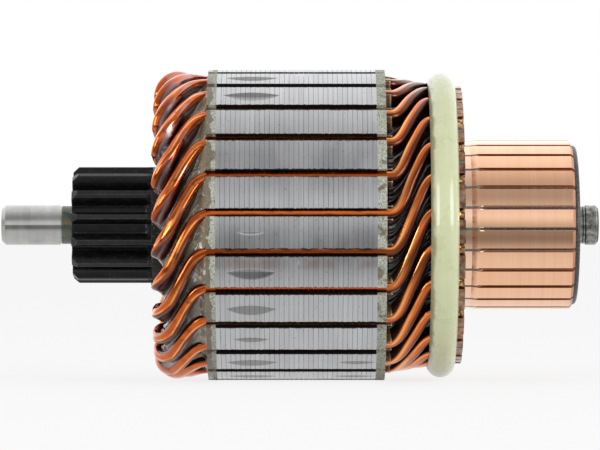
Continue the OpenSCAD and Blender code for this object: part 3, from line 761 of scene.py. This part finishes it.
def ring_point(ring, w, h, turned):
    """A point w across the conductor and h out of the bend, turned by the given angle in degrees."""
    x0, r0, angle, turn, slant = ring
    along, side = -w * math.sin(slant), w * math.cos(slant)
    x = x0 - along * math.cos(turn) - h * math.sin(turn)
    r = r0 - along * math.sin(turn) + h * math.cos(turn)
    a = math.radians(angle + turned)
    y, z = r * math.cos(a) - side * math.sin(a), r * math.sin(a) + side * math.cos(a)
    return (x * MM, -y * MM, -z * MM)


def overhang_share(x):
    """0 in the slots and at the risers, 1 in the free parts of the winding."""
    if x < LINER_X0:
        return smooth((LINER_X0 - x) / 4)
    if x > LINER_X1:
        return smooth((x - LINER_X1) / 4) * smooth((riser_bend_x - x) / 4)
    return 0.0


rings = hairpin_rings()
section = rounded_section()
for number in range(1, SLOTS + 1):
    turned = slot_angle(number - 1)
    points, uvs = [], []
    run = 0.0
    for i, ring in enumerate(rings):
        if i:
            before = rings[i - 1]
            run += math.hypot(ring[0] - before[0], math.radians(ring[2] - before[2]) * ring[1],
                              ring[1] - before[1])
        free = overhang_share(ring[0])
        lean = 0.35 * ripple(number, ring[0] * 0.5) * free
        lift = 0.10 * ripple(number + 40, ring[0] * 0.6) * free
        lay = DRIVE_ROLL if ring[0] < LINER_X0 else END_ROLL
        roll = math.radians(5 * ripple(number + 80, ring[0] * 0.4) + lay) * free
        moved = (ring[0], ring[1] + lift, ring[2] + lean, ring[3], ring[4])
        for j, (w, h) in enumerate(section):
            across = w * math.cos(roll) - h * math.sin(roll)
            out = w * math.sin(roll) + h * math.cos(roll)
            points.append(ring_point(moved, across, out, turned))
            down = math.copysign(max(0.0, CONDUCTOR_H / 2 - CONDUCTOR_ROUND - h), w)
            uvs.append(((w + down) / CONDUCTOR_W + 0.5, run * MM))
    count = len(section)
    faces = grid_faces(len(rings), count, closed=True)
    faces.append(tuple(range(count - 1, -1, -1)))
    faces.append(tuple((len(rings) - 1) * count + j for j in range(count)))
    wire = make_piece(f"wire_{number:02d}", points, faces, ENAMEL, uvs)
    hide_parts(f"hairpin_{number:02d}")

# ---- resin between the noses ----


def half_angle(ring, w):
    """Half the angle that a conductor covers at one station."""
    return math.degrees(w / math.cos(ring[4]) / ring[1])


def resin_web(k):
    """The skin of resin between wire k and the next one below it, as rows of points."""
    stations = [drive_ring(s, 1) for s in np.linspace(0.0, drive_run, 26)]
    stations.insert(0, (INSULATOR_X0, OUTER_R, 0.0, 0.0, 0.0))
    stations += [nose_ring(t) for t in np.linspace(0, math.radians(100), 12)[1:]]
    level = 0.45 + 0.30 * ripple(k + 7, 1.0)
    columns = 15
    points, uvs = [], []
    for i, ring in enumerate(stations):
        share = i / (len(stations) - 1)
        reach = half_angle(ring, CONDUCTOR_W / 2 - 0.12)
        for j in range(columns):
            v = j / (columns - 1)
            angle = ring[2] + reach + v * (PITCH - 2 * reach)
            dip = 4 * v * (1 - v)
            near = max(0.0, 1 - (INSULATOR_X0 - ring[0]) / (2.1 + 0.7 * math.cos(3.1 * k)))
            h = level * (1 - 0.6 * share) - (0.60 + 0.25 * share) * dip * (1 - near) + 1.45 * near ** 2
            h += 0.22 * ripple(k, share * 9, v * 3) * dip
            h += 0.30 * math.exp(-((v - 0.62) / 0.12) ** 2) * (1 - near)
            x = ring[0] - h * math.sin(ring[3])
            r = ring[1] + h * math.cos(ring[3])
            points.append(around(x, r, slot_angle(k) + angle))
            uvs.append((v, (i + 40 * k) * 0.0005))
    return points, uvs, len(stations), columns


points, faces, uvs = [], [], []
for k in range(SLOTS):
    made, made_uvs, rows, columns = resin_web(k)
    start = len(points)
    points += made
    uvs += made_uvs
    faces += [tuple(start + index for index in face) for face in grid_faces(rows, columns)]
make_piece("nose_resin", points, faces, RESIN, uvs)

# ---- the sheet between the layers, pressed into ridges along the wires ----

points, faces, uvs = [], [], []
for k in range(SLOTS):
    stations = [end_ring(s, 0) for s in np.linspace(1.2, end_run, 26)]
    columns = 21
    start = len(points)
    for i, ring in enumerate(stations):
        reach = half_angle(ring, CONDUCTOR_W / 2 - 0.3)
        for j in range(columns):
            v = j / (columns - 1)
            ridge = 0.20 * math.cos(2 * math.pi * v * 3) + 0.12 * ripple(k + 3, ring[0] * 0.8, v * 5)
            strand = math.exp(-((v - 0.34) / 0.09) ** 2) * (0.8 + 0.5 * ripple(k + 11, ring[0] * 1.1))
            strand *= smooth(i / 4) * smooth((len(stations) - 1 - i) / 4)
            h = -CONDUCTOR_H / 2 + 0.42 + ridge - 0.25 * math.sin(math.pi * v) + strand
            angle = ring[2] + reach + v * (PITCH - 2 * reach)
            points.append(around(ring[0], ring[1] + h, slot_angle(k) + angle))
            uvs.append((v, (i + 40 * k) * 0.0005))
    faces += [tuple(start + index for index in face) for face in grid_faces(len(stations), columns)]
make_piece("pressed_sheet", points, faces, SHEET, uvs)

# ---- floor, backdrop, light and camera ----

VIEW_X = 53.25
VIEW_DISTANCE = 780.0
VIEW_WIDTH = 120.0
SENSOR = 36.0
FLOOR_SIZE = 6.0
FLOOR_GREY = 0.82
FLOOR_GLOW = 0.82
SOFT_LIGHT = 0.62
LAMP_WIDTH, LAMP_HEIGHT = 0.35, 0.36
LAMP_POWER = 2.4

# what metal sees: of the floor by depth in millimetres, of the room by degrees above the front
FLOOR_Y0, FLOOR_Y1 = -400, 100
FLOOR_TONES = [(-400, 0.42), (-150, 0.29), (-100, 0.24), (-78, 0.34), (-60, 0.62), (-47, 0.76), (-37, 0.82),
               (-20, 0.86), (100, 1.0)]
ROOM_TONES = [(-180, 1.35), (-130, 1.15), (-100, 1.00), (-85, 0.85), (-60, 0.75), (-47, 0.66), (-37, 0.64),
              (-30, 0.42), (-22, 0.30), (-13, 0.30), (-6, 0.38), (2, 0.70), (11, 1.02), (18, 0.95),
              (27, 0.60), (38, 0.42), (48, 0.44), (60, 0.56), (74, 0.76), (90, 1.05), (110, 1.22),
              (130, 1.35), (180, 1.35)]
ROOM_BLUE = 1.01

low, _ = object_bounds()
corners = [(-FLOOR_SIZE, -FLOOR_SIZE), (FLOOR_SIZE, -FLOOR_SIZE), (FLOOR_SIZE, FLOOR_SIZE),
           (-FLOOR_SIZE, FLOOR_SIZE)]
mesh = bpy.data.meshes.new("floor")
mesh.from_pydata([(x, y, low[2]) for x, y in corners], [], [(0, 1, 2, 3)])
floor = bpy.data.objects.new("floor", mesh)
bpy.context.scene.collection.objects.link(floor)
ground = bpy.data.materials.new("pale_floor")
ground.use_nodes = True
tree = ground.node_tree
surface = tree.nodes["Principled BSDF"]
surface.inputs["Base Color"].default_value = rgb(FLOOR_GREY, FLOOR_GREY, FLOOR_GREY)
surface.inputs["Roughness"].default_value = 0.9
path = add_node(tree, "ShaderNodeLightPath")
# white to the camera; in reflections it is dimmer in front of the object, as the room is
spot = add_node(tree, "ShaderNodeTexCoord").outputs["Object"]
y = add_node(tree, "ShaderNodeSeparateXYZ", spot).outputs[1]
depth = add_node(tree, "ShaderNodeMapRange", y, FLOOR_Y0 * MM, FLOOR_Y1 * MM).outputs[0]
dim = add_ramp(tree, depth, [((place - FLOOR_Y0) / (FLOOR_Y1 - FLOOR_Y0), rgb(tone, tone, tone))
                             for place, tone in FLOOR_TONES])
tint = add_mix(tree, path.outputs["Is Glossy Ray"], rgb(1, 1, 1), dim)
glow = add_node(tree, "ShaderNodeEmission", tint)
seen = add_node(tree, "ShaderNodeMath", path.outputs["Is Camera Ray"], FLOOR_GLOW,
                path.outputs["Is Glossy Ray"], operation="MULTIPLY_ADD").outputs[0]
blend = add_node(tree, "ShaderNodeMixShader", seen, surface.outputs[0], glow.outputs[0])
put(tree, tree.nodes["Material Output"].inputs["Surface"], blend.outputs[0])
floor.data.materials.append(ground)

# the studio round the object: white behind and above, dimmer in front
world = bpy.data.worlds.new("studio")
bpy.context.scene.world = world
world.use_nodes = True
tree = world.node_tree
tree.nodes.clear()
aim = add_node(tree, "ShaderNodeTexCoord").outputs["Generated"]
parts = add_node(tree, "ShaderNodeSeparateXYZ", aim)
front = add_node(tree, "ShaderNodeMath", parts.outputs[1], -1.0, operation="MULTIPLY").outputs[0]
elevation = add_node(tree, "ShaderNodeMath", parts.outputs[2], front, operation="ARCTAN2").outputs[0]
place = add_node(tree, "ShaderNodeMapRange", elevation, -math.pi, math.pi, 0.0, 1.0).outputs[0]
tones = add_ramp(tree, place, [((degrees + 180) / 360, rgb(tone, tone, tone * ROOM_BLUE))
                               for degrees, tone in ROOM_TONES])
room = add_node(tree, "ShaderNodeBackground", tones, 1.0)
soft = add_node(tree, "ShaderNodeBackground", rgb(1, 1, 1), SOFT_LIGHT)
white = add_node(tree, "ShaderNodeBackground", rgb(1, 1, 1), 1.0)
path = add_node(tree, "ShaderNodeLightPath")
lit = add_node(tree, "ShaderNodeMixShader", path.outputs["Is Glossy Ray"], soft.outputs[0], room.outputs[0])
both = add_node(tree, "ShaderNodeMixShader", path.outputs["Is Camera Ray"], lit.outputs[0],
                white.outputs[0])
add_node(tree, "ShaderNodeOutputWorld", both.outputs[0])


def lamp(name, place, aim):
    """An area lamp at a place, in metres, that faces the aim."""
    data = bpy.data.lights.new(name, "AREA")
    data.shape = "RECTANGLE"
    data.size = LAMP_WIDTH
    data.size_y = LAMP_HEIGHT
    data.energy = LAMP_POWER
    made = bpy.data.objects.new(name, data)
    made.location = place
    made.rotation_euler = (Vector(aim) - Vector(place)).to_track_quat("-Z", "Y").to_euler()
    bpy.context.scene.collection.objects.link(made)


middle = (VIEW_X * MM, 0.0, 0.0)
lamp("left_light", (-0.57, -0.42, 0.15), middle)
lamp("right_light", (0.67, -0.42, 0.15), middle)

camera_data = bpy.data.cameras.new("camera")
camera_data.sensor_width = SENSOR
camera_data.lens = SENSOR * VIEW_DISTANCE / VIEW_WIDTH
camera = bpy.data.objects.new("camera", camera_data)
camera.location = (VIEW_X * MM, -VIEW_DISTANCE * MM, 0.0)
camera.rotation_euler = (math.pi / 2, 0.0, 0.0)
bpy.context.scene.collection.objects.link(camera)
bpy.context.scene.camera = camera
bpy.context.scene.view_settings.view_transform = "Standard"
